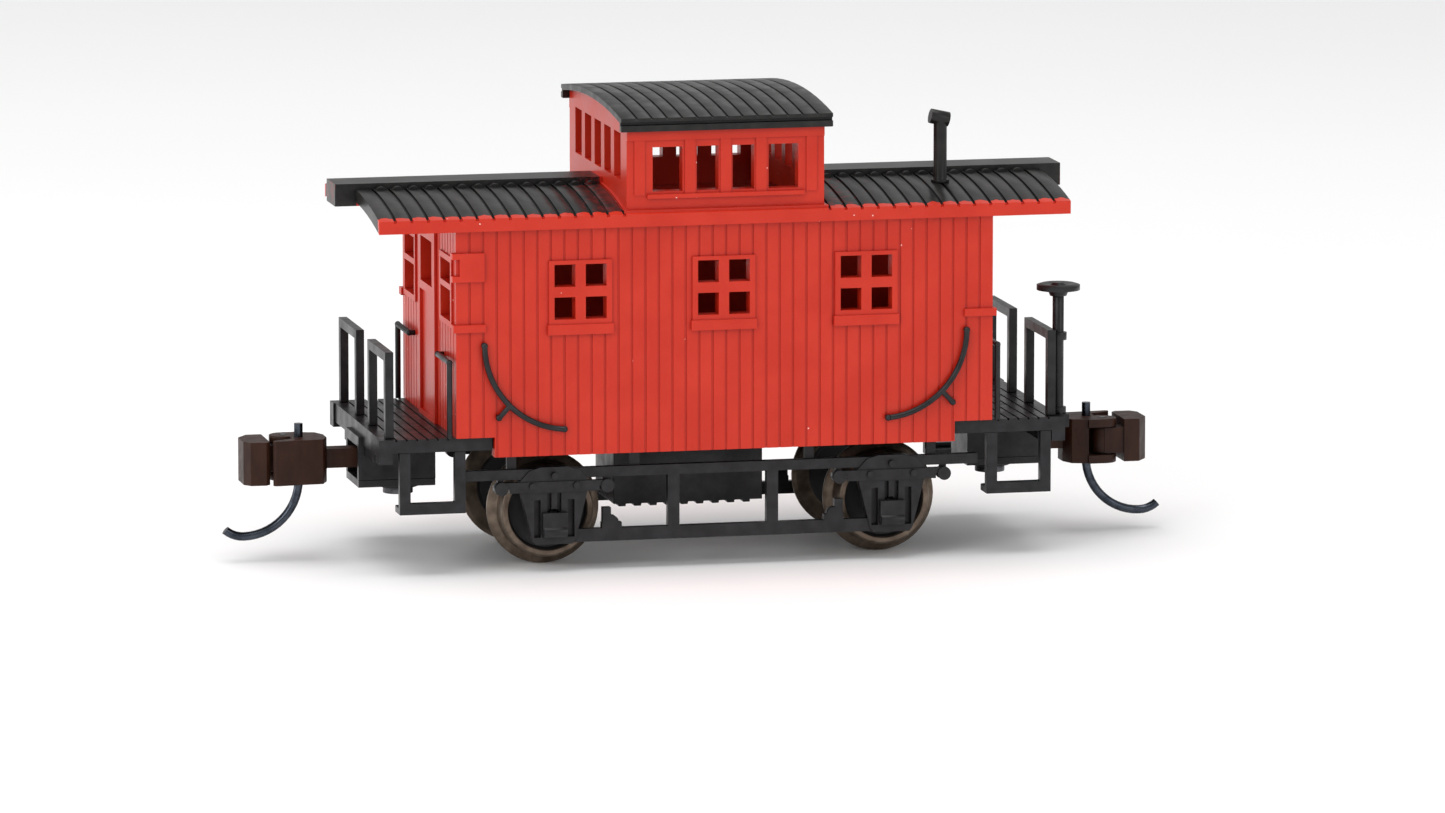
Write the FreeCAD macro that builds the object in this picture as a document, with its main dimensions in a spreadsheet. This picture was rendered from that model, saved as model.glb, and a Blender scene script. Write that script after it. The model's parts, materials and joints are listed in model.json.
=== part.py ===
import FreeCAD, Part
import os
import re
import Sketcher

# Four-wheel caboose with a cupola, 1:160, running on 9 mm gauge track.
# Frame: origin under the middle of the car at the lowest point of the flanges,
# +X towards the end with the hand brake, +Z up, millimetres.

DIMS = {
    # running gear
    "wheel_base_half": 10.25, "tread_radius": 2.8, "flange_depth": 0.6,
    "back_to_back_half": 3.8, "wheel_width": 1.9, "axle_radius": 0.55,
    "stub_radius": 0.35, "journal_fit": 0.05, "stub_end": 7.5,
    # body
    "body_half": 16.25, "side_half": 8.2, "wall": 0.9, "skirt_half": 13.95,
    "skirt_low": 7.1, "deck_top": 8.3, "board_pitch": 0.8125, "groove": 0.14, "groove_depth": 0.06,
    # main roof
    "roof_half": 20.9, "eave_half": 8.65, "roof_crown": 22.35, "roof_radius": 38.8,
    "roof_thick": 0.75, "roof_pitch": 0.98, "roof_start": 6.2, "roof_groove_depth": 0.13,
    "walk_half": 1.35, "walk_end": 22.15, "walk_top": 22.68, "cleat_radius": 0.38,
    # cupola
    "cupola_half": 5.97, "cupola_side": 8.1, "cupola_wall_top": 27.25,
    "cupola_roof_half": 6.4, "cupola_eave": 8.6, "cupola_crown": 27.65,
    "cupola_radius": 60.0, "cupola_seat_radius": 59.6, "cupola_pitch": 0.91,
    # side windows
    "window_pitch": 8.65, "window_shift": -0.15, "window_low": 15.2, "pane_wide": 1.26, "pane_tall": 1.32,
    "mullion": 0.62, "frame_wide": 3.8, "frame_low": 14.9, "frame_high": 18.7, "frame_proud": 0.15,
    "sill_wide": 3.95, "sill_low": 14.3, "sill_proud": 0.25,
    # platforms and underframe
    "floor_low": 7.5, "floor_side": 7.2, "deck_end": 20.2, "deck_side": 7.9, "deck_pitch": 0.62,
    "beam_end": 20.7, "beam_back": 20.0, "centre_sill_low": 6.9,
    "step_inner": 15.65, "step_outer": 19.6, "step_shift": 0.35, "step_low": 3.8, "step_leg": 0.65,
    "rail_thick": 0.5, "rail_bar": 0.55, "rail_top": 13.45, "rail_inner": 1.8, "rail_outer": 7.4,
    "frame_inner": 6.85, "frame_outer": 7.55,
    # hand rails
    "wire": 0.17, "arc_centre_x": 9.46, "arc_centre_z": 13.83, "arc_radius": 5.14, "arc_sweep": 86.0,
    "rail_gap": 0.3, "grab_high": 12.8, "grab_reach": 4.4, "grab_side": 8.0,
    # couplers, measured outwards from the middle of the car
    "pivot_x": 18.2, "post_radius": 0.8, "eye_radius": 1.32, "pivot_fit": 0.06,
    "pocket_inner": 16.3, "pocket_outer": 20.95, "pocket_side": 2.0, "pocket_wall": 0.42,
    "pocket_floor": 5.0, "pocket_roof": 7.0, "shank_low": 5.575, "shank_high": 6.725,
    "shank_side": 0.6, "head_low": 4.76, "head_high": 7.45, "hinge_x": 24.95, "hinge_y": -1.0,
    "lug_radius": 0.85, "lug_thick": 0.5, "knuckle_gap": 0.06, "hinge_pin": 0.2, "hinge_fit": 0.05,
    "trip_x": 24.2, "trip_wire": 0.26, "trip_top": 8.25, "trip_bend": 4.9, "trip_sweep_radius": 3.35,
    "trip_tip_radius": 1.68, "trip_tip_angle": 41.0, "droop": 0.4,
}

ENDS = (("front", 1), ("rear", -1))
SIDES = (("right", -1), ("left", 1))

doc = FreeCAD.newDocument("caboose")
sheet = doc.addObject("Spreadsheet::Sheet", "dims")
for row, (alias, value) in enumerate(DIMS.items(), start=1):
    sheet.set("A%d" % row, str(value))
    sheet.setAlias("A%d" % row, alias)
doc.recompute()
nodes = []


def bound(text):
    """Expression text with each driving dimension pointed at its sheet cell."""
    return re.sub(r"[a-z_]+", lambda m: "dims." + m.group() if m.group() in DIMS else m.group(), str(text))


def bind(item, **sizes):
    for prop, text in sizes.items():
        item.setExpression(prop.replace("__", "."), bound(text))
    return item


def place(item, x=0, y=0, z=0):
    for axis, text in (("x", x), ("y", y), ("z", z)):
        item.setExpression("Placement.Base." + axis, bound(text))
    return item


def block(name, x, y, z):
    """Box between two limits on each axis."""
    item = doc.addObject("Part::Box", name)
    bind(item, Length="(%s) - (%s)" % (x[1], x[0]), Width="(%s) - (%s)" % (y[1], y[0]),
         Height="(%s) - (%s)" % (z[1], z[0]))
    return place(item, x[0], y[0], z[0])


def both(sign, inner, outer):
    """Limits from inner to outer on the positive side, or their mirror image."""
    return (inner, outer) if sign > 0 else ("-(%s)" % outer, "-(%s)" % inner)


def middle(half):
    return ("-(%s)" % half, half)


def rod(name, radius, length, x=0, y=0, z=0, towards=(0, 0, 1)):
    item = doc.addObject("Part::Cylinder", name)
    bind(item, Radius=radius, Height=length)
    item.Placement.Rotation = FreeCAD.Rotation(FreeCAD.Vector(0, 0, 1), FreeCAD.Vector(*towards))
    return place(item, x, y, z)


def ball(name, radius, x, y, z):
    return place(bind(doc.addObject("Part::Sphere", name), Radius=radius), x, y, z)


def bend(name, ring, wire, sweep, centre, start, turn):
    """Part of a ring, from the direction start towards the direction turn."""
    item = doc.addObject("Part::Torus", name)
    bind(item, Radius1=ring, Radius2=wire, Angle3=sweep)
    first, second = FreeCAD.Vector(*start), FreeCAD.Vector(*turn)
    item.Placement.Rotation = FreeCAD.Rotation(first, second, first.cross(second), "ZXY")
    return place(item, *centre)


def fuse(name, *items):
    item = doc.addObject("Part::MultiFuse", name)
    item.Shapes = list(items)
    item.Refine = True
    return item


def group(name, items):
    item = doc.addObject("Part::Compound", name)
    item.Links = list(items)
    return item


def cut(name, base, tool):
    item = doc.addObject("Part::Cut", name)
    item.Base, item.Tool = base, tool
    return item


def common(name, base, tool):
    item = doc.addObject("Part::Common", name)
    item.Base, item.Tool = base, tool
    return item


def outline(name, role, points, closed_by):
    """PartDesign body from one closed outline; closed_by adds the Pad or Revolution."""
    body = doc.addObject("PartDesign::Body", name)
    sketch = body.newObject("Sketcher::SketchObject", name + "_outline")
    plane = next(f for f in body.Origin.OriginFeatures if f.Role == role)
    sketch.AttachmentSupport = [(plane, "")]
    sketch.MapMode = "FlatFace"
    values = [tuple(sheet_value(text) for text in point) for point in points]
    count = len(points)
    for i in range(count):
        start, end = (FreeCAD.Vector(*values[k], 0) for k in (i, (i + 1) % count))
        sketch.addGeometry(Part.LineSegment(start, end), False)
    for i in range(count):
        sketch.addConstraint(Sketcher.Constraint("Coincident", i, 2, (i + 1) % count, 1))
    for i, point in enumerate(points):
        for kind, text, value in zip(("DistanceX", "DistanceY"), point, values[i]):
            index = sketch.addConstraint(Sketcher.Constraint(kind, -1, 1, i, 1, value))
            if isinstance(text, str):
                sketch.setExpression("Constraints[%d]" % index, bound(text))
    closed_by(body, sketch)
    return body


def sheet_value(text):
    """Number that an expression gives, for a sketch's first guess."""
    if not isinstance(text, str):
        return float(text)
    probe = doc.addObject("App::FeaturePython", "probe")
    probe.addProperty("App::PropertyFloat", "Result")
    probe.setExpression("Result", bound(text))
    probe.recompute()
    value = probe.Result
    doc.removeObject(probe.Name)
    return value


def padded(length):
    def close(body, sketch):
        pad = body.newObject("PartDesign::Pad", body.Name + "_pad")
        pad.Profile = sketch
        pad.setExpression("Length", bound(length))
    return close


def turned(body, sketch):
    turn = body.newObject("PartDesign::Revolution", body.Name + "_turn")
    turn.Profile = sketch
    turn.ReferenceAxis = (sketch, ["V_Axis"])
    turn.Angle = 360


def node(item, label, half_turn=False, lower=0):
    """Name a finished piece, turn it to the rear end if asked, and keep it for export."""
    item.Label = label
    if half_turn:
        item.Placement.Rotation = FreeCAD.Rotation(FreeCAD.Vector(0, 0, 1), 180)
    if lower:
        item.setExpression("Placement.Base.z", bound("-(%s)" % lower))
    nodes.append(item)
    return item


def along_x(name, radius, half, crown):
    """Long cylinder along X whose top line is at height crown."""
    return rod(name, radius, "2 * (%s)" % half, "-(%s)" % half, 0,
               "%s - (%s)" % (crown, radius), (1, 0, 0))


def body_walls():
    """Board-and-groove walls, as a solid block still to be hollowed."""
    main = block("walls", middle("body_half"), middle("side_half"), ("deck_top", "roof_crown"))
    skirt = block("skirt", middle("skirt_half"), middle("side_half"), ("skirt_low", "deck_top + 0.1"))
    trimmed = common("walls_under_roof", fuse("walls_and_skirt", main, skirt),
                     along_x("wall_trim", "roof_radius - roof_thick / 2", "body_half + 1",
                             "roof_crown - roof_thick / 2"))
    side_slots = [block("side_groove_%d" % i,
                        ("-body_half + board_pitch * %d - groove / 2" % i,
                         "-body_half + board_pitch * %d + groove / 2" % i),
                        middle("side_half + 1"), ("skirt_low - 1", "roof_crown")) for i in range(1, 40)]
    side_core = block("side_core", middle("body_half + 1"), middle("side_half - groove_depth"),
                      ("skirt_low - 2", "roof_crown + 1"))
    end_slots = [block("end_groove_%d" % i, middle("body_half + 1"),
                       ("-side_half + board_pitch * %d - groove / 2" % i,
                        "-side_half + board_pitch * %d + groove / 2" % i),
                       ("skirt_low - 1", "roof_crown")) for i in range(1, 20)]
    end_core = block("end_core", middle("body_half - groove_depth"), middle("side_half + 1"),
                     ("skirt_low - 2", "roof_crown + 1"))
    side_cut = cut("side_boards", trimmed, cut("side_grooves", group("side_slots", side_slots), side_core))
    return cut("boarded_walls", side_cut, cut("end_grooves", group("end_slots", end_slots), end_core))


def main_roof():
    """Arched roof slab with cross boards and the raised walk along its crown."""
    slab = common("roof_slab", cut("roof_arch", along_x("roof_top", "roof_radius", "roof_half", "roof_crown"),
                                   along_x("roof_under", "roof_radius - roof_thick", "roof_half + 1",
                                           "roof_crown - roof_thick")),
                  block("roof_limits", middle("roof_half"), middle("eave_half"), (20, "roof_crown + 1")))
    slots, cleats = [], []
    for sign in (1, -1):
        for k in range(15):
            at = "%d * (roof_start + roof_pitch * %d)" % (sign, k)
            slots.append(block("roof_slot", (at + " - groove / 2 - 0.02", at + " + groove / 2 + 0.02"),
                               middle("eave_half + 1"), (20, "roof_crown + 1")))
            centre = "%d * (roof_start + roof_pitch * %s)" % (sign, k + 0.5)
            cleats.append(rod("roof_cleat", "cleat_radius", "2 * walk_half + 1", centre, "-walk_half - 0.5",
                              "roof_crown - cleat_radius + 0.16", (0, 1, 0)))
    grooves = cut("roof_grooves", group("roof_slots", slots),
                  along_x("roof_core", "roof_radius - roof_groove_depth", "roof_half + 2",
                          "roof_crown - roof_groove_depth"))
    boards = cut("roof_boards", slab, grooves)
    walk = block("roof_walk", middle("walk_end"), middle("walk_half"), ("roof_crown - 1", "walk_top"))
    return fuse("roof", boards, walk, *cleats[:14], *cleats[15:29])


def wall_trim():
    """Window frames, sills, door frames, corner strips and lamp brackets that stand proud."""
    trim = []
    for k in (-1, 0, 1):
        centre = "window_pitch * %d + window_shift" % k
        trim.append(block("window_frame", (centre + " - frame_wide / 2", centre + " + frame_wide / 2"),
                          middle("side_half + frame_proud"), ("frame_low", "frame_high")))
        trim.append(block("window_sill", (centre + " - sill_wide / 2", centre + " + sill_wide / 2"),
                          middle("side_half + sill_proud"), ("sill_low", "sill_low + 0.6")))
    trim.append(block("door_frame", middle("body_half + 0.18"), middle(2.5), ("deck_top", 19.9)))
    for y_sign in (1, -1):
        trim.append(block("end_window_frame", middle("body_half + 0.12"), both(y_sign, 3.75, 7.35),
                          (14.75, 18.95)))
        for x_sign in (1, -1):
            trim.append(block("corner_strip", both(x_sign, "body_half - 1.75", "body_half + 0.2"),
                              both(y_sign, "side_half - 0.5", "side_half + 0.2"), (14.6, 15.05)))
    for sign in (1, -1):
        trim.append(block("lamp_plate", both(sign, 14.57, 16.05), both(sign, 7.9, "side_half + 0.2"),
                          (17.6, 19.3)))
        for low, high in ((17.6, 17.95), (18.95, 19.3)):
            trim.append(block("lamp_tooth", both(sign, 16.0, "body_half + 0.25"),
                              both(sign, 7.7, "side_half + 0.2"), (low, high)))
    return trim


def body_shell():
    """One moulding: boarded walls, arched roof with its walk, and the cupola walls."""
    cupola = common("cupola_block", block("cupola_walls", middle("cupola_half"), middle("cupola_side"),
                                          (20.5, "cupola_wall_top + 1")),
                    along_x("cupola_trim", "cupola_seat_radius", "cupola_half + 1", "cupola_wall_top"))
    fascia = block("cupola_fascia", middle("cupola_half + 0.2"), middle("side_half + 0.22"), (20.65, 21.55))
    ledge = block("cupola_ledge", middle(4.75), middle("cupola_side + 0.2"), (22.2, 22.45))
    posts = [block("cupola_post", (x - 0.32, x + 0.32), middle("cupola_side + 0.08"), (22.4, 26.0))
             for x in (-5.2, -2.15, 0, 2.15, 5.2)]
    header = block("cupola_header", middle("cupola_half"), middle("cupola_side + 0.12"), (25.65, 26.2))
    solid = fuse("body_solid", body_walls(), main_roof(), cupola, fascia, ledge, header, *posts, *wall_trim())
    room = common("room", block("room_block", middle("body_half - wall"), middle("side_half - wall"),
                                ("skirt_low - 1", "roof_crown + 1")),
                  along_x("ceiling", "roof_radius - roof_thick", "body_half + 1", "roof_crown - roof_thick"))
    loft = block("cupola_room", middle("cupola_half - wall"), middle("cupola_side - wall"),
                 (20, "cupola_crown"))
    holes = [room, loft]
    pane_x = "(mullion + pane_wide) / 2"
    for k in (-1, 0, 1):
        for side in (1, -1):
            for level in (0, 1):
                centre = "window_pitch * %d + window_shift + %d * (%s)" % (k, side, pane_x)
                low = "window_low + %d * (pane_tall + mullion)" % level
                holes.append(block("pane", (centre + " - pane_wide / 2", centre + " + pane_wide / 2"),
                                   middle("side_half + 1"), (low, low + " + pane_tall")))
    for centre, half in ((-3.5, 0.9), (-1.08, 0.66), (1.08, 0.66), (3.5, 0.9)):
        holes.append(block("cupola_window", (centre - half, centre + half), middle("side_half + 1"),
                           (22.6, 25.23)))
    for k in range(-2, 3):
        holes.append(block("cupola_end_window", middle("cupola_half + 1"), (2.76 * k - 0.92, 2.76 * k + 0.92),
                           (23.15, 25.9)))
    for sign in (1, -1):
        for low, high in ((15.1, 16.95), (17.3, 18.6)):
            holes.append(block("end_window", middle("body_half + 1"), both(sign, 4.1, 7.0), (low, high)))
    holes.append(block("door_window", middle("body_half + 1"), middle(1.7), (16.4, 19.1)))
    door_panel = [block("door_recess", both(sign, "body_half", "body_half + 1"), middle(2.0),
                        ("deck_top + 0.3", 15.9)) for sign in (1, -1)]
    node(cut("body_moulding", solid, group("body_holes", holes + door_panel)), "body_shell")


def cupola_roof():
    slab = common("cupola_slab", block("cupola_roof_block", middle("cupola_roof_half"), middle("cupola_eave"),
                                       (26.05, "cupola_crown + 1")),
                  along_x("cupola_top", "cupola_radius", "cupola_roof_half + 1", "cupola_crown"))
    slots = [block("cupola_slot", ("cupola_pitch * %d - groove / 2" % k, "cupola_pitch * %d + groove / 2" % k),
                   middle("cupola_eave + 1"), (26, "cupola_crown + 1")) for k in range(-6, 7)]
    grooves = cut("cupola_grooves", group("cupola_slots", slots),
                  along_x("cupola_core", "cupola_radius - 0.13", "cupola_roof_half + 2", "cupola_crown - 0.13"))
    seat = along_x("cupola_seat", "cupola_seat_radius", "cupola_roof_half + 2", "cupola_wall_top + 0.02")
    sheet_roof = cut("cupola_sheet", slab, group("cupola_cutters", [grooves, seat]))
    eaves = [block("cupola_eave_strip", middle("cupola_roof_half"), both(sign, "cupola_side + 0.01", "cupola_eave"),
                   (26.22, 26.95)) for sign in (1, -1)]
    recess = [block("eave_recess", middle("cupola_roof_half + 1"),
                    both(sign, "cupola_eave - 0.22", "cupola_eave + 1"), (26.6, 26.78)) for sign in (1, -1)]
    node(cut("cupola_lid", fuse("cupola_roof_whole", sheet_roof, *eaves), group("eave_recesses", recess)),
         "cupola_roof")


def smoke_stack():
    x, y = 14.05, -4.0
    pipe = rod("stack_pipe", 0.4, 4.4, x, y, 21.6)
    flange = rod("stack_flange", 0.55, 0.68, x, y, 21.6)
    hood = rod("stack_hood", 0.44, 1.15, x - 0.62, y, 26.1, (1, 0, -0.22))
    solid = fuse("stack", pipe, flange, hood)
    node(cut("stack_on_roof", solid, along_x("stack_seat", "roof_radius", "roof_half + 3",
                                             "roof_crown + 0.01")), "smoke_stack")


def chassis():
    """Floor, both end platforms with end beams, and the upper halves of the coupler pockets."""
    parts = [block("floor", middle("deck_end"), middle("floor_side"), ("floor_low", "deck_top")),
             block("centre_sill", middle("pocket_inner"), middle(2.8), ("centre_sill_low", "floor_low"))]
    holes = []
    for sign in (1, -1):
        parts.append(block("deck", both(sign, "skirt_half + 0.08", "deck_end"), middle("deck_side"),
                           ("floor_low", "deck_top")))
        parts.append(block("end_beam", both(sign, "beam_back", "beam_end"), middle("deck_side"),
                           (7.15, "deck_top")))
        parts.append(block("apron", both(sign, "beam_back", "beam_end - 0.15"), middle(4.6),
                           (6.45, "deck_top - 0.2")))
        parts.append(block("pocket", both(sign, "pocket_inner", "pocket_outer"), middle("pocket_side"),
                           ("pocket_floor", "floor_low + 0.1")))
        holes.append(block("pocket_room", both(sign, "pocket_inner + 0.4", "pocket_outer + 1"),
                           middle("pocket_side - pocket_wall"), ("pocket_floor - 1", "pocket_roof")))
        for side in (1, -1):
            parts.append(block("beam_block", both(sign, "beam_back", "beam_end + 0.12"),
                               both(side, "deck_side - 1.1", "deck_side"), (6.85, "deck_top")))
        for k in range(6):
            at = "%d * (body_half + 0.45 + deck_pitch * %d)" % (sign, k)
            holes.append(block("deck_groove", (at + " - 0.06", at + " + 0.06"), middle("deck_side + 1"),
                               ("deck_top - 0.12", "deck_top + 1")))
    bracket = block("brake_bracket", ("beam_end - 0.1", 21.3), (-7.0, -6.0), (7.5, "deck_top"))
    shell = cut("chassis_shell", fuse("chassis_solid", bracket, *parts), group("chassis_holes", holes))
    posts = [rod("pivot_post", "post_radius", "floor_low - pocket_floor", "%d * pivot_x" % sign, 0,
                 "pocket_floor") for sign in (1, -1)]
    bores = [rod("screw_hole", 0.42, 3.0, "%d * pivot_x" % sign, 0, 4.5) for sign in (1, -1)]
    bored = cut("chassis_bored", fuse("chassis_with_posts", shell, *posts), group("screw_holes", bores))
    node(bored, "chassis")


def side_frame(label, side):
    """Pedestals, springs, axle boxes, tie bar and the long rail of one side."""
    face = both(side, "frame_inner", "frame_outer")
    thin = both(side, "frame_inner + 0.1", "frame_outer - 0.1")
    parts = [block(label + "_rail", middle(15.55), thin, (5.6, 6.2)),
             block(label + "_tie", middle(9.0), thin, (1.74, 2.51))]
    holes = []
    for sign in (1, -1):
        for x in (5.3, 12.75):
            parts.append(block(label + "_strut", both(sign, x - 0.28, x + 0.28),
                               both(side, "frame_inner + 0.05", "floor_side"), (6.1, "floor_low")))
        parts.append(block(label + "_post", both(sign, 2.65, 3.35), thin, (2.4, 5.7)))
        parts.append(block(label + "_shoe", both(sign, 6.15, 7.35), thin, (2.4, 2.85)))
        parts.append(rod(label + "_shoe_heel", 0.42, 0.5, "%d * 6.75" % sign,
                         "%d * (frame_inner + 0.1)" % side, 2.85, (0, side, 0)))
        parts.append(block(label + "_shoe_top", both(sign, 6.8, 7.3), thin, (2.8, 3.75)))
        axle = "%d * wheel_base_half" % sign
        iron = outline("%s_iron_%d" % (label, sign), "XZ_Plane",
                       [(-0.8, 6.3), (-1.5, 6.1), (-2.15, 5.4), (-1.3, 1.95), (-1.1, 1.68), (1.1, 1.68),
                        (1.3, 1.95), (2.15, 5.4), (1.5, 6.1), (0.8, 6.3)],
                       padded("frame_outer - frame_inner"))
        place(iron, axle, "frame_outer" if side > 0 else "-frame_inner", 0)
        parts.append(iron)
        for low, high, half in ((5.1, 5.45, 3.3), (4.82, 5.14, 2.7)):
            parts.append(block(label + "_leaf", (axle + " - %s" % half, axle + " + %s" % half),
                               both(side, "frame_outer - 0.3", "frame_outer + 0.1"), (low, high)))
        for tip in (1, -1):
            parts.append(rod(label + "_eye", 0.4, 0.75, axle + " + %s" % (3.2 * tip),
                             "%d * (frame_inner + 0.15)" % side, 5.1, (0, side, 0)))
            parts.append(block(label + "_hanger", (axle + " + %s" % (3.2 * tip - 0.18), axle + " + %s"
                                                   % (3.2 * tip + 0.18)),
                               both(side, "frame_inner + 0.2", "frame_outer - 0.15"), (5.1, 5.7)))
            holes.append(block(label + "_gap", (axle + " + %s" % (1.02 * tip - 0.2), axle + " + %s"
                                                % (1.02 * tip + 0.2)),
                               both(side, "frame_outer - 0.4", "frame_outer + 1"), (2.1, 4.35)))
            holes.append(block(label + "_slot", (axle + " + %s" % (0.3 * tip - 0.13), axle + " + %s"
                                                 % (0.3 * tip + 0.13)),
                               both(side, "frame_outer - 0.3", "frame_outer + 1"), (3.62, 4.75)))
        parts.append(block(label + "_box", (axle + " - 0.75", axle + " + 0.75"),
                           both(side, "frame_inner", "frame_outer + 0.38"), (2.36, 3.6)))
        outward = (0, side, 0)
        parts.append(rod(label + "_lid", 0.34, 1.4, axle + " - 0.7", "%d * (frame_outer + 0.2)" % side, 2.45,
                         (1, 0, 0)))
        for x, z in ((-1.33, 5.2), (0, 5.8), (1.33, 5.2)):
            parts.append(rod(label + "_bolt", 0.2, "frame_outer + 0.28 - frame_inner", axle + " + %s" % x,
                             "%d * frame_inner" % side, z, outward))
        holes.append(rod(label + "_journal", "stub_radius + journal_fit", "stub_end + 1.12 - frame_inner",
                         axle, "%d * (frame_inner - 1)" % side, "tread_radius + flange_depth", outward))
    solid = fuse(label + "_solid", *parts)
    node(cut(label + "_bored", solid, group(label + "_holes", holes)), label)


def wheelset(name, sign):
    """Axle with stub ends and its two pressed wheels."""
    height = "tread_radius + flange_depth"
    half = [("axle_radius", 6.55), ("stub_radius", 6.7), ("stub_radius", "stub_end - 0.3"), (0.15, "stub_end")]
    lower = [(r, "-(%s)" % a) for r, a in half]
    profile = [(0, "-stub_end")] + lower[::-1] + half + [(0, "stub_end")]
    axle = outline("axle_" + name, "XY_Plane", profile, turned)
    node(place(axle, "%d * wheel_base_half" % sign, 0, height), "axle_" + name)
    back, face = "back_to_back_half", "back_to_back_half + wheel_width"
    profile = [("axle_radius", back + " - 0.1"), (1.05, back + " - 0.1"), (1.15, back + " + 0.2"),
               (2.2, back + " + 0.2"), (2.4, back), ("tread_radius + flange_depth - 0.25", back),
               ("tread_radius + flange_depth", back + " + 0.17"),
               ("tread_radius + flange_depth", back + " + 0.36"), ("tread_radius + 0.06", back + " + 0.62"),
               ("tread_radius - 0.02", face + " - 0.1"), ("tread_radius - 0.12", face), (2.4, face),
               (2.28, face + " - 0.5"), (1.2, face + " - 0.62"), (1.05, face + " - 0.15"),
               ("axle_radius", face + " - 0.15")]
    for side_name, side in SIDES:
        label = "wheel_%s_%s" % (name, side_name)
        wheel = outline(label, "XY_Plane", profile, turned)
        if side < 0:
            wheel.Placement.Rotation = FreeCAD.Rotation(FreeCAD.Vector(0, 0, 1), 180)
        node(place(wheel, "%d * wheel_base_half" % sign, 0, height), label)


def steps(label, end, side):
    shift = " + step_shift" if end > 0 else ""
    x_in, x_out = "step_inner" + shift, "step_outer" + shift
    outer = block(label + "_outer", both(end, x_in, x_out), both(side, "deck_side - 0.5", "deck_side"),
                  ("step_low", "floor_low"))
    gap = block(label + "_gap", both(end, x_in + " + step_leg", x_out + " - step_leg"),
                both(side, "deck_side - 1", "deck_side + 1"), ("step_low + 0.67", "floor_low + 1"))
    tread = block(label + "_tread", both(end, x_in, x_out), both(side, "deck_side - 1.5", "deck_side"),
                  ("step_low", "step_low + 0.4"))
    node(fuse(label + "_whole", cut(label + "_frame", outer, gap), tread), label)


def railing(label, end, side):
    x = both(end, "deck_end - 0.35", "deck_end - 0.35 + rail_thick")
    inner, outer = "rail_inner", "rail_outer"
    top = block(label + "_top", x, both(side, inner, outer), ("rail_top - rail_bar", "rail_top"))
    posts = [block(label + "_post", x, both(side, low, low + " + rail_bar"), ("deck_top", "rail_top"))
             for low in (inner, outer + " - rail_bar")]
    node(fuse(label + "_whole", top, *posts), label)


def brake_gear():
    x, y = 20.72, -6.5
    staff = fuse("staff", rod("staff_rod", 0.34, 7.1, x, y, "deck_top"),
                 rod("staff_foot", 0.5, 0.4, x, y, "deck_top"), rod("staff_collar", 0.52, 0.45, x, y, 12.75))
    behind = block("staff_flat", ("deck_end - 0.5", "deck_end - 0.35 + rail_thick"), (-8, -5),
                   ("deck_top", "rail_top"))
    node(cut("staff_against_rail", staff, behind), "brake_staff")
    profile = [(0, 0), (0.5, 0), (0.62, 0.3), (1.1, 0.42), (1.3, 0.36), (1.3, 0.66), (1.05, 0.74),
               (0.5, 0.66), (0.3, 0.8), (0, 0.8)]
    wheel = outline("brake_wheel", "XY_Plane", profile, turned)
    wheel.Placement.Rotation = FreeCAD.Rotation(FreeCAD.Vector(1, 0, 0), 90)
    node(place(wheel, x, y, "deck_top + 7.1"), "brake_wheel")


def side_handrail(label, end, side):
    y = "%d * (side_half + rail_gap)" % side
    centre = ("%d * arc_centre_x" % end, y, "arc_centre_z")
    arc = bend(label + "_arc", "arc_radius", "wire", "arc_sweep", centre, (end, 0, 0), (0, 0, -1))
    outward = (0, -side, 0)
    ends = []
    for x, z in (("arc_centre_x + arc_radius", "arc_centre_z - 0.02"),
                 ("arc_centre_x + arc_radius * cos(arc_sweep * 1 deg)",
                  "arc_centre_z - arc_radius * sin(arc_sweep * 1 deg)")):
        ends.append(ball(label + "_ball", "wire * 1.15", "%d * (%s)" % (end, x), y, z))
        ends.append(rod(label + "_foot", "wire * 0.9", "rail_gap", "%d * (%s)" % (end, x), y, z, outward))
    branch = rod(label + "_branch", "wire * 0.9", 1.0, "%d * 13.05" % end, y, 10.25, (end * 0.65, 0, -0.7))
    tip = ball(label + "_tip", "wire * 1.15", "%d * 13.746" % end, y, 9.504)
    foot = rod(label + "_tip_foot", "wire * 0.9", "rail_gap", "%d * 13.746" % end, y, 9.504, outward)
    node(fuse(label + "_whole", arc, branch, tip, foot, *ends), label)


def end_grab(label, end, side):
    x = "%d * (body_half + 0.36)" % end
    inner, outer = "%d * grab_reach" % side, "%d * grab_side" % side
    bar = rod(label + "_bar", "wire", "grab_side - grab_reach", x, inner, "grab_high", (0, side, 0))
    drop = rod(label + "_drop", "wire", "grab_high - deck_top", x, outer, "deck_top")
    corner = ball(label + "_corner", "wire * 1.1", x, outer, "grab_high")
    heel = ball(label + "_heel", "wire * 1.1", x, inner, "grab_high")
    foot = rod(label + "_foot", "wire * 0.9", 0.36, x, inner, "grab_high", (-end, 0, 0))
    node(fuse(label + "_whole", bar, drop, corner, heel, foot), label)


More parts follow.
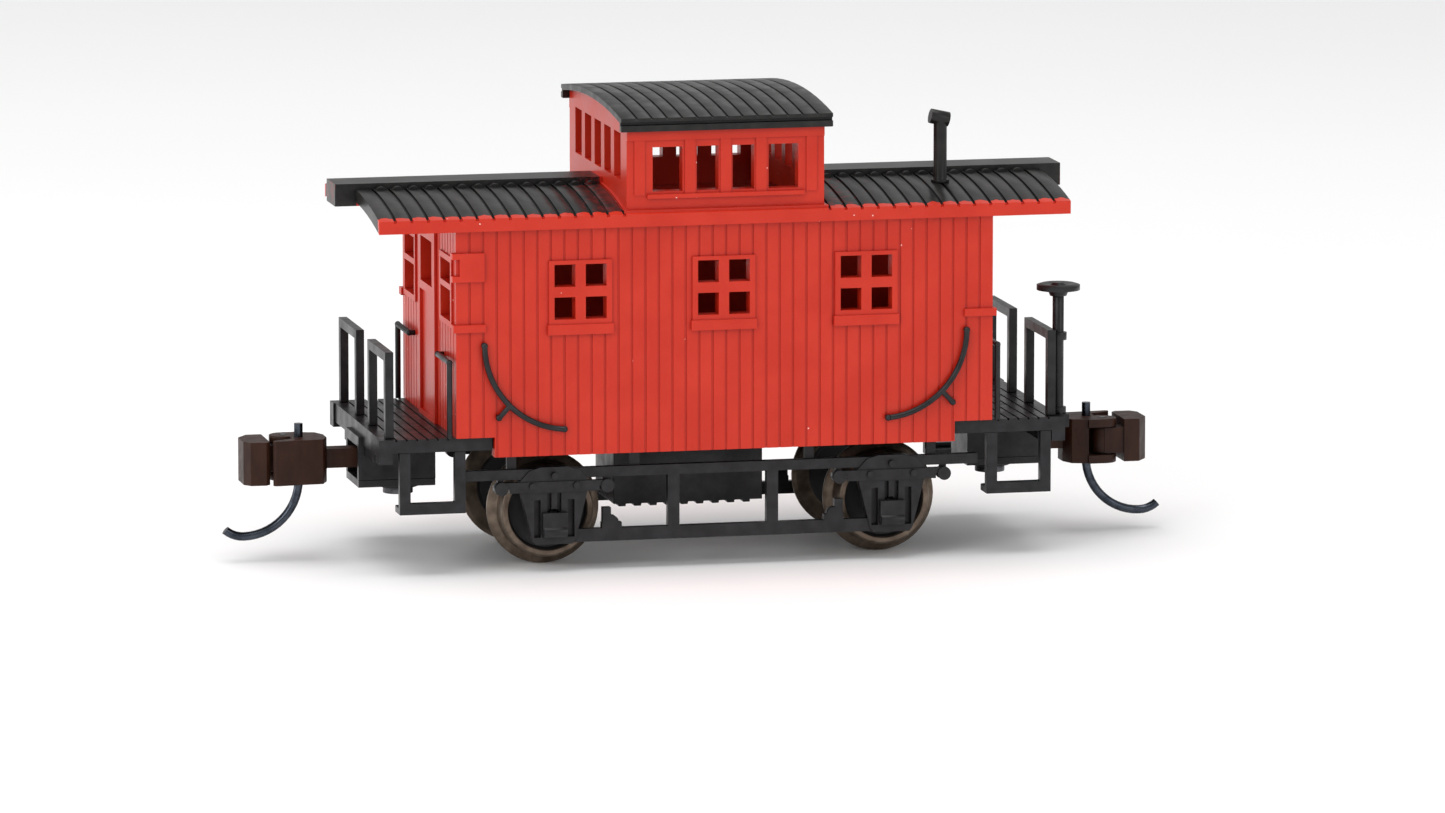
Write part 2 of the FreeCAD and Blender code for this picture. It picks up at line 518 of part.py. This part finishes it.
def coupler(name, end):
    """Shank and head, hinged knuckle with its pin, trip wire, pocket cover; built at the +X end."""
    rear = end < 0
    lower = "0" if rear else "droop"
    head_points = [(22.6, 0.55), (22.95, 1.4), (25.85, 1.65), (26.0, 1.5), (25.9, 1.2), (24.7, 0.65),
                   (24.7, -0.12), (23.95, -0.45), (23.95, -1.7), (22.95, -1.4), (22.6, -0.55)]
    head = outline("head_" + name, "XY_Plane", head_points, padded("head_high - head_low"))
    place(head, 0, 0, "head_low")
    shank = block("shank_" + name, ("pivot_x", 22.8), middle("shank_side"), ("shank_low", "shank_high"))
    eye = rod("eye_" + name, "eye_radius", "shank_high - shank_low", "pivot_x", 0, "shank_low")
    lugs = []
    for low in ("head_low", "head_high - lug_thick"):
        lugs.append(rod("lug_" + name, "lug_radius", "lug_thick", "hinge_x", "hinge_y", low))
        lugs.append(block("web_" + name, (23.9, "hinge_x"), ("hinge_y - lug_radius", -0.15),
                          (low, low + " + lug_thick")))
    bores = group("head_bores_" + name,
                  [rod("eye_bore_" + name, "post_radius + pivot_fit", 4, "pivot_x", 0, 4),
                   rod("pin_bore_" + name, "hinge_pin", 4, "hinge_x", "hinge_y", 4),
                   rod("trip_bore_" + name, "trip_wire", 4, "trip_x", 0, 4)])
    whole = fuse("head_whole_" + name, head, shank, eye, *lugs)
    node(cut("head_bored_" + name, whole, bores), "coupler_" + name, rear, lower)
    low, high = "head_low + lug_thick + knuckle_gap", "head_high - lug_thick - knuckle_gap"
    nose = outline("nose_" + name, "XY_Plane",
                   [(26.15, 1.3), (26.4, 1.55), (27.35, 1.5), (27.7, 1.0), (27.7, -0.8), (27.1, -1.7),
                    (26.15, -1.7)], padded("head_high - head_low - 0.1"))
    place(nose, 0, 0, "head_low + 0.05")
    arm = block("arm_" + name, ("hinge_x", 26.5), ("hinge_y - 0.6", "hinge_y + 0.55"), (low, high))
    barrel = rod("barrel_" + name, 0.58, "(%s) - (%s)" % (high, low), "hinge_x", "hinge_y", low)
    eye_hole = rod("knuckle_bore_" + name, "hinge_pin + hinge_fit", 4, "hinge_x", "hinge_y", 4)
    node(cut("knuckle_bored_" + name, fuse("knuckle_whole_" + name, nose, arm, barrel), eye_hole),
         "knuckle_" + name, rear, lower)
    node(rod("knuckle_pin_" + name, "hinge_pin", "head_high - head_low + 0.04", "hinge_x", "hinge_y",
             "head_low - 0.02"), "knuckle_pin_" + name)
    set_pin(nodes[-1], end, lower)
    wire = [rod("trip_rod_" + name, "trip_wire", "trip_top - trip_bend", "trip_x", 0, "trip_bend"),
            bend("trip_sweep_" + name, "trip_sweep_radius", "trip_wire", 90,
                 ("trip_x + trip_sweep_radius", 0, "trip_bend"), (-1, 0, 0), (0, 0, -1)),
            bend("trip_tip_" + name, "trip_tip_radius", "trip_wire", "trip_tip_angle",
                 ("trip_x + trip_sweep_radius", 0, "trip_bend - trip_sweep_radius + trip_tip_radius"),
                 (0, 0, -1), (1, 0, 0))]
    node(fuse("trip_whole_" + name, *wire), "trip_wire_" + name, rear, lower)
    plate = fuse("cover_whole_" + name,
                 block("cover_plate_" + name, ("pocket_inner", "pocket_outer"), middle("pocket_side"),
                       ("pocket_floor - 0.45", "pocket_floor")),
                 rod("cover_boss_" + name, 1.25, 0.3, "pivot_x", 0, "pocket_floor - 0.7"))
    hole = rod("cover_hole_" + name, 0.42, 3, "pivot_x", 0, 3)
    node(cut("cover_bored_" + name, plate, hole), "coupler_cover_" + name, rear)


def set_pin(item, end, lower):
    """Put a hinge pin in its own end's lugs, lowered as its coupler is."""
    place(item, "%d * hinge_x" % end, "%d * hinge_y" % end, "head_low - 0.02 - %s" % lower)


def coupler_screws():
    screws = []
    for name, sign in ENDS:
        at = "%d * pivot_x" % sign
        head = rod("screw_head_" + name, 0.9, 0.4, at, 0, "pocket_floor - 1.1")
        slot = block("screw_slot_" + name, (at + " - 0.12", at + " + 0.12"), middle(1),
                     (3, "pocket_floor - 0.95"))
        shaft = rod("screw_shaft_" + name, 0.4, 2.6, at, 0, "pocket_floor - 0.8")
        screws.append(cut("screw_" + name, fuse("screw_whole_" + name, head, shaft), slot))
    node(group("screw_pair", screws), "coupler_screws")


def inner_pieces():
    node(block("ballast", middle(12.5), middle(5.8), ("deck_top", "deck_top + 1.3")), "ballast_weight")
    box = block("box_case", (-5.6, 3.5), middle(2.6), (3.1, "centre_sill_low"))
    ribs = [block("box_rib", (-5.3 + 0.95 * k, -4.85 + 0.95 * k), middle(2.6), (2.95, 3.2)) for k in range(9)]
    flanges = [block("box_flange", (-5.75, 3.65), both(sign, 2.4, 2.8), (6.3, "centre_sill_low"))
               for sign in (1, -1)]
    node(fuse("box_whole", box, *ribs, *flanges), "equipment_box")


body_shell()
cupola_roof()
smoke_stack()
chassis()
inner_pieces()
for side_label, side_sign in SIDES:
    side_frame("side_frame_" + side_label, side_sign)
for end_label, end_sign in ENDS:
    wheelset(end_label, end_sign)
    coupler(end_label, end_sign)
    for side_label, side_sign in SIDES:
        corner = "%s_%s" % (end_label, side_label)
        steps("steps_" + corner, end_sign, side_sign)
        railing("railing_" + corner, end_sign, side_sign)
        side_handrail("handrail_" + corner, end_sign, side_sign)
        end_grab("grab_iron_" + corner, end_sign, side_sign)
brake_gear()
coupler_screws()

doc.recompute()
failed = [item.Name for item in doc.Objects if {"Invalid", "Error"} & set(item.State)]
if failed:
    raise RuntimeError("failed features: %s" % failed)
for piece in nodes:
    shape = piece.Shape
    if shape.isNull() or not shape.isValid() or not shape.Solids:
        raise RuntimeError("bad shape: " + piece.Label)
    print("%-26s %9.3f mm3 %d solid(s)" % (piece.Label, shape.Volume, len(shape.Solids)))
os.makedirs("parts", exist_ok=True)
for piece in nodes:
    piece.Shape.exportStep("parts/%s.step" % piece.Label)
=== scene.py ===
import json
import math

import bpy
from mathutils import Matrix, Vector


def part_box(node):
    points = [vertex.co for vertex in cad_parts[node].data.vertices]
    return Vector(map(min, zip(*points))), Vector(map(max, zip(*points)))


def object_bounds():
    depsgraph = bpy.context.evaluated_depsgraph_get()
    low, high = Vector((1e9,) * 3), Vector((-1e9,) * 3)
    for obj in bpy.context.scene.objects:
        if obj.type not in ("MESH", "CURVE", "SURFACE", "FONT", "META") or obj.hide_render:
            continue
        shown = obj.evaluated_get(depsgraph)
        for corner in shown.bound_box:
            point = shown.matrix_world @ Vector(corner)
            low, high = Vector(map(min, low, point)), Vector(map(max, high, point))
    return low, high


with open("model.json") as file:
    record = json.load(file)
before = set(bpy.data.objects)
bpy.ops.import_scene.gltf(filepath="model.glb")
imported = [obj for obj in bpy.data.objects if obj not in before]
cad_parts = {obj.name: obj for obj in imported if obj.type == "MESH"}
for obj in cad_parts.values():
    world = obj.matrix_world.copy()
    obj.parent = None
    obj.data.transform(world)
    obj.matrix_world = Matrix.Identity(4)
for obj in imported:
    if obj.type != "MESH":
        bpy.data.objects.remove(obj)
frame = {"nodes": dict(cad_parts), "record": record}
cad_low, cad_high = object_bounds()
nodes = frame["nodes"]

MM = 0.001

# the car's own measures that the paint follows, in millimetres
ROOF_RADIUS = 38.8
ROOF_CROWN = 22.35
ROOF_END = 20.86
WALK_END = 22.12
EAVE_PAINT_EDGE = 8.62
BOARDS_START = 6.2
BOARD_HALF = 0.49
CUPOLA_END = 6.15
TYRE_INSIDE = 2.33


# ---------------------------------------------------------------- node helpers
class Shader:
    """A material under construction: short calls for the nodes that the looks below use."""

    def __init__(self, name):
        self.material = bpy.data.materials.new(name)
        self.material.use_nodes = True
        self.tree = self.material.node_tree
        self.surface = self.tree.nodes["Principled BSDF"]
        coords = self.tree.nodes.new("ShaderNodeTexCoord")
        scale = self.tree.nodes.new("ShaderNodeVectorMath")
        scale.operation = "SCALE"
        scale.inputs["Scale"].default_value = 1 / MM
        self.link(coords.outputs["Object"], scale.inputs[0])
        self.place = scale.outputs[0]
        parts = self.tree.nodes.new("ShaderNodeSeparateXYZ")
        self.link(self.place, parts.inputs[0])
        self.x, self.y, self.z = parts.outputs

    def link(self, source, target):
        self.tree.links.new(source, target)

    def math(self, operation, *values):
        """One step of arithmetic on sockets or numbers."""
        node = self.tree.nodes.new("ShaderNodeMath")
        node.operation = operation
        for socket, value in zip(node.inputs, values):
            if isinstance(value, (int, float)):
                socket.default_value = value
            else:
                self.link(value, socket)
        return node.outputs[0]

    def ramp(self, value, low, high, to_low=0.0, to_high=1.0):
        """Straight rise from to_low to to_high as the value goes from low to high."""
        node = self.tree.nodes.new("ShaderNodeMapRange")
        self.link(value, node.inputs["Value"])
        for name, number in (("From Min", low), ("From Max", high), ("To Min", to_low), ("To Max", to_high)):
            node.inputs[name].default_value = number
        return node.outputs[0]

    def noise(self, scale, detail=3.0, stretch=None):
        """Noise whose scale is in cells per millimetre."""
        node = self.tree.nodes.new("ShaderNodeTexNoise")
        node.inputs["Scale"].default_value = scale
        node.inputs["Detail"].default_value = detail
        place = self.place
        if stretch:
            mapping = self.tree.nodes.new("ShaderNodeVectorMath")
            mapping.operation = "MULTIPLY"
            mapping.inputs[1].default_value = stretch
            self.link(place, mapping.inputs[0])
            place = mapping.outputs[0]
        self.link(place, node.inputs["Vector"])
        return node.outputs["Fac"]

    def flecks(self, scale, radius, share):
        """Tiny round specks, scale per millimetre; share is how many of the cells hold one."""
        node = self.tree.nodes.new("ShaderNodeTexVoronoi")
        node.inputs["Scale"].default_value = scale
        self.link(self.place, node.inputs["Vector"])
        parts = self.tree.nodes.new("ShaderNodeSeparateColor")
        self.link(node.outputs["Color"], parts.inputs[0])
        inside = self.math("LESS_THAN", node.outputs["Distance"], radius * scale)
        chosen = self.math("LESS_THAN", parts.outputs[0], self.math("MULTIPLY", share, 0.3))
        return self.math("MULTIPLY", inside, chosen)

    def mix(self, factor, first, second):
        node = self.tree.nodes.new("ShaderNodeMix")
        node.data_type = "RGBA"
        for socket, value in ((node.inputs[0], factor), (node.inputs[6], first), (node.inputs[7], second)):
            if isinstance(value, tuple):
                socket.default_value = (*value, 1.0)
            else:
                self.link(value, socket)
        return node.outputs[2]

    def shade(self, distance):
        """How open a point is: 1 on an open face, less in a groove or corner."""
        node = self.tree.nodes.new("ShaderNodeAmbientOcclusion")
        node.inputs["Distance"].default_value = distance * MM
        node.samples = 8
        return node.outputs["AO"]

    def bump(self, height, depth):
        """Fine surface texture, depth in millimetres."""
        node = self.tree.nodes.new("ShaderNodeBump")
        node.inputs["Distance"].default_value = depth * MM
        node.inputs["Strength"].default_value = 1.0
        self.link(height, node.inputs["Height"])
        self.link(node.outputs[0], self.surface.inputs["Normal"])

    def set(self, **values):
        """Fill the surface's sockets, each from a number or another node."""
        for name, value in values.items():
            socket = self.surface.inputs[name.replace("_", " ").title().replace("Ior", "IOR")]
            if isinstance(value, (int, float)):
                socket.default_value = value
            else:
                self.link(value, socket)


# ------------------------------------------------------------------- materials
RED = (0.52, 0.021, 0.006)
RED_LIGHT = (0.57, 0.029, 0.011)
# painted shade: the deeper red that grooves, corners and recesses are darkened to
RED_PAINTED_SHADE = (0.44, 0.014, 0.005)
RED_THROUGH = (0.16, 0.012, 0.010)
# pale flecks: partly dust, partly painted highlight glinting along the eave edge
FLECK_DUST_AND_GLINT = (0.85, 0.55, 0.50)
ROOF_BLACK = (0.0045, 0.0042, 0.0040)
ROOF_GREY = (0.017, 0.0158, 0.0150)
# painted shade: the deeper black that grooves and corners of black surfaces are darkened to
BLACK_PAINTED_SHADE = (0.003, 0.003, 0.003)
# painted shade: the deeper brown that coupler recesses are darkened to
BROWN_PAINTED_SHADE = (0.006, 0.003, 0.002)
BROWN_DARK = (0.018, 0.0052, 0.0022)
BROWN_LIGHT = (0.036, 0.0125, 0.0062)
HUB_BLACK = (0.012, 0.012, 0.013)
TREAD_DARK = (0.085, 0.062, 0.045)
TREAD_LIGHT = (0.19, 0.145, 0.11)


def red_body():
    """Satin red plastic; the roof boards and the walk are brushed over in black, with a ragged edge. Grooves
    and recesses carry painted shade, darker in both the red and the black.
    """
    s = Shader("red_body")
    # painted shade: ambient occlusion darkens the red in grooves, corners and recesses
    out_of_shade = s.ramp(s.shade(0.35), 0.45, 0.95)
    cloud = s.noise(0.35, 4)
    red = s.mix(out_of_shade, RED_PAINTED_SHADE, s.mix(s.ramp(cloud, 0.35, 0.65), RED, RED_LIGHT))
    # pale flecks, more of them towards the eave: partly dust, partly painted highlight glinting on the edge
    red = s.mix(s.flecks(1.6, 0.045, s.ramp(s.z, 20.2, 21.0, 0.2, 1.0)), red, FLECK_DUST_AND_GLINT)
    # height above the arch of the roof's top, in millimetres
    drop = s.math("MULTIPLY", s.math("MULTIPLY", s.y, s.y), 1 / (2 * ROOF_RADIUS))
    arch = s.math("SUBTRACT", s.math("ADD", drop, s.z), ROOF_CROWN)
    along = s.math("ABSOLUTE", s.x)
    across = s.math("ABSOLUTE", s.y)
    on_top = s.math("GREATER_THAN", arch, -0.22)
    at_end = s.math("MULTIPLY", s.math("GREATER_THAN", along, ROOF_END), s.math("GREATER_THAN", arch, -1.2))
    board = s.math("PINGPONG", s.math("SUBTRACT", along, BOARDS_START), BOARD_HALF)
    ragged = s.math("ADD", s.math("MULTIPLY", board, 0.45), s.math("MULTIPLY", s.noise(1.7, 4), 0.7))
    edge = s.math("LESS_THAN", s.math("ADD", across, ragged), EAVE_PAINT_EDGE)
    clear_of_cupola = s.math("GREATER_THAN", along, CUPOLA_END)
    painted = s.math("MULTIPLY", s.math("MAXIMUM", on_top, at_end), s.math("MULTIPLY", edge, clear_of_cupola))
    near_cupola = s.ramp(along, BOARDS_START, 9.5, 0.12, -0.1)
    rubbed = s.math("GREATER_THAN", s.math("ADD", s.noise(2.2, 5), near_cupola), 0.6)
    chipped_end = s.math("MULTIPLY", s.math("GREATER_THAN", along, WALK_END),
                         s.math("GREATER_THAN", s.noise(1.1, 3), 0.52))
    thin = s.math("MAXIMUM", s.math("MULTIPLY", rubbed, 0.45), s.math("MULTIPLY", chipped_end, 0.6))
    grain = s.ramp(s.noise(1.4, 4, (1.0, 0.25, 1.0)), 0.3, 0.7)
    # painted shade: ambient occlusion darkens the black paint in the board grooves and corners
    black = s.mix(out_of_shade, BLACK_PAINTED_SHADE, s.mix(grain, ROOF_BLACK, ROOF_GREY))
    black = s.mix(thin, black, RED_THROUGH)
    s.set(base_color=s.mix(painted, red, black),
          roughness=s.math("ADD", s.ramp(cloud, 0.3, 0.7, 0.30, 0.38), s.math("MULTIPLY", painted, 0.02)))
    s.set(coat_weight=0.03, coat_roughness=0.2, specular_ior_level=0.3)
    s.bump(s.noise(3.2, 4), 0.012)
    return s.material


def black_plastic(name, dark, light, rough, lines=(1.0, 1.0, 1.0)):
    """Satin black moulding with a little dust on open faces and painted shade, a deeper black, in its grooves
    and corners.
    """
    s = Shader(name)
    # painted shade: ambient occlusion darkens the black in grooves and corners
    out_of_shade = s.ramp(s.shade(0.35), 0.4, 0.95)
    dust = s.ramp(s.noise(1.3, 5, lines), 0.3, 0.72)
    s.set(base_color=s.mix(out_of_shade, BLACK_PAINTED_SHADE, s.mix(dust, dark, light)),
          roughness=s.ramp(s.noise(0.9, 3), 0.3, 0.7, rough - 0.06, rough + 0.08))
    s.set(specular_ior_level=0.3)
    s.bump(s.noise(4.0, 3), 0.010)
    return s.material


def brown_coupler():
    """Dull brown moulding of the couplers and knuckles, with painted shade in its recesses."""
    s = Shader("brown_coupler")
    # painted shade: ambient occlusion darkens the brown in recesses and corners
    out_of_shade = s.ramp(s.shade(0.3), 0.4, 0.95)
    streak = s.ramp(s.noise(1.1, 4, (1.0, 1.0, 0.4)), 0.3, 0.7)
    s.set(base_color=s.mix(out_of_shade, BROWN_PAINTED_SHADE, s.mix(streak, BROWN_DARK, BROWN_LIGHT)),
          roughness=s.ramp(s.noise(2.0, 3), 0.3, 0.7, 0.40, 0.52), specular_ior_level=0.2)
    s.bump(s.noise(5.0, 3), 0.008)
    return s.material


def metal(name, dark, light, rough):
    """Bare metal with faint mottling."""
    s = Shader(name)
    tone = s.ramp(s.noise(1.6, 5), 0.3, 0.7)
    s.set(base_color=s.mix(tone, dark, light), metallic=1.0,
          roughness=s.ramp(s.noise(3.0, 3), 0.3, 0.7, rough - 0.05, rough + 0.08))
    return s.material


def wheel_metal(name, node):
    """Browned tread and rim round a black centre, told apart by the distance from the axle."""
    low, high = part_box(node)
    centre_x, centre_z = (low[0] + high[0]) / 2 / MM, (low[2] + high[2]) / 2 / MM
    s = Shader(name)
    across = s.math("SUBTRACT", s.x, centre_x)
    up = s.math("SUBTRACT", s.z, centre_z)
    radius = s.math("SQRT", s.math("ADD", s.math("MULTIPLY", across, across), s.math("MULTIPLY", up, up)))
    rim = s.ramp(radius, TYRE_INSIDE, TYRE_INSIDE + 0.08)
    tone = s.ramp(s.noise(1.5, 4), 0.3, 0.7)
    brown = s.mix(tone, TREAD_DARK, TREAD_LIGHT)
    s.set(base_color=s.mix(rim, HUB_BLACK, brown), metallic=s.math("MULTIPLY", rim, 0.75),
          roughness=s.ramp(radius, 2.3, 2.5, 0.5, 0.36))
    s.bump(s.noise(3.0, 3), 0.008)
    return s.material


looks = {
    "red_body": red_body(),
    "black_roof": black_plastic("black_roof", ROOF_BLACK, ROOF_GREY, 0.34, lines=(1.0, 0.3, 1.0)),
    "black_frame": black_plastic("black_frame", (0.006, 0.006, 0.007), (0.019, 0.019, 0.021), 0.34),
    "brown_coupler": brown_coupler(),
    "trip_steel": metal("trip_steel", (0.030, 0.036, 0.048), (0.075, 0.085, 0.105), 0.24),
    "screw_steel": metal("screw_steel", (0.05, 0.05, 0.055), (0.14, 0.14, 0.15), 0.38),
    "ballast_steel": metal("ballast_steel", (0.12, 0.12, 0.12), (0.24, 0.24, 0.24), 0.5),
}
for end in ("front", "rear"):
    looks["wheel_" + end] = wheel_metal("wheel_metal_" + end, "axle_" + end)

# ------------------------------------------------- finish of each carried-over node
# edge radius of each look, in millimetres
FINE_EDGE = {"red_body": 0.03, "black_roof": 0.04, "black_frame": 0.05, "brown_coupler": 0.16,
             "wheel_metal": 0.04, "screw_steel": 0.04, "ballast_steel": 0.05, "trip_steel": 0.0}


def round_edges(item, width):
    """Small radius on every sharp edge, as a moulding or a worn part has."""
    weld = item.modifiers.new("weld", "WELD")
    weld.merge_threshold = 0.002 * MM
    if width:
        bevel = item.modifiers.new("edges", "BEVEL")
        bevel.width = width * MM
        bevel.segments = 2
        bevel.limit_method = "ANGLE"
        bevel.angle_limit = math.radians(35)
        bevel.use_clamp_overlap = True
        bevel.harden_normals = True


for part in frame["record"]["subparts"]:
    name, slot = part["node"], part["material_slot"]
    item = nodes[name]
    look = looks["wheel_" + name.split("_")[1]] if slot == "wheel_metal" else looks[slot]
    for material_slot in item.material_slots:
        material_slot.material = look
    if not item.material_slots:
        item.data.materials.append(look)
    round_edges(item, FINE_EDGE[slot])


# ------------------------------------------------------------ floor, light, camera
PAPER = (0.93, 0.93, 0.93)


def matte(name, color, rough):
    """Paper with a slight, slow change of tone."""
    s = Shader(name)
    tone = s.ramp(s.noise(0.01, 2), 0.3, 0.7)
    s.set(base_color=s.mix(tone, color, tuple(c * 0.98 for c in color)), roughness=rough)
    return s.material


def floor():
    bpy.ops.mesh.primitive_plane_add(size=4.0, location=(0, 0, cad_low[2]))
    plane = bpy.context.object
    plane.name = "floor"
    plane.data.materials.append(matte("floor_paper", PAPER, 0.6))


def area_light(name, place, size, power):
    """White disk light aimed at the middle of the car."""
    light = bpy.data.lights.new(name, "AREA")
    light.shape = "DISK"
    light.size = size
    light.energy = power
    item = bpy.data.objects.new(name, light)
    bpy.context.scene.collection.objects.link(item)
    item.location = place
    aim = Vector((0, 0, 0.012)) - Vector(place)
    item.rotation_euler = aim.to_track_quat("-Z", "Y").to_euler()


def studio():
    bpy.context.scene.view_settings.view_transform = "Standard"
    world = bpy.data.worlds.new("studio")
    bpy.context.scene.world = world
    world.use_nodes = True
    world.node_tree.nodes["Background"].inputs["Color"].default_value = (1.0, 1.0, 1.0, 1.0)
    world.node_tree.nodes["Background"].inputs["Strength"].default_value = 0.55
    area_light("top_soft", (-0.05, -0.05, 0.55), 0.5, 2.0)
    area_light("front_left", (-0.40, -0.35, 0.30), 0.30, 0.9)
    area_light("front_right", (0.35, -0.45, 0.22), 0.35, 0.5)
    area_light("end_card", (-0.55, 0.06, 0.10), 0.30, 0.85)


def camera():
    """Long lens, seeing the right side and the rear end from a little above."""
    azimuth, elevation, distance = math.radians(12.79), math.radians(8.90), 0.59946
    centre = (Vector(cad_low) + Vector(cad_high)) / 2
    aim = Vector((centre.x + 1.57 * MM, centre.y - 0.356 * MM, cad_low[2] + 8.41 * MM))
    forward = Vector((math.sin(azimuth) * math.cos(elevation), math.cos(azimuth) * math.cos(elevation),
                      -math.sin(elevation)))
    data = bpy.data.cameras.new("camera")
    data.sensor_width = 36.0
    data.lens = 249.1
    data.clip_start, data.clip_end = 0.01, 10.0
    item = bpy.data.objects.new("camera", data)
    bpy.context.scene.collection.objects.link(item)
    item.location = aim - forward * distance
    item.rotation_euler = forward.to_track_quat("-Z", "Y").to_euler()
    bpy.context.scene.camera = item


floor()
studio()
camera()
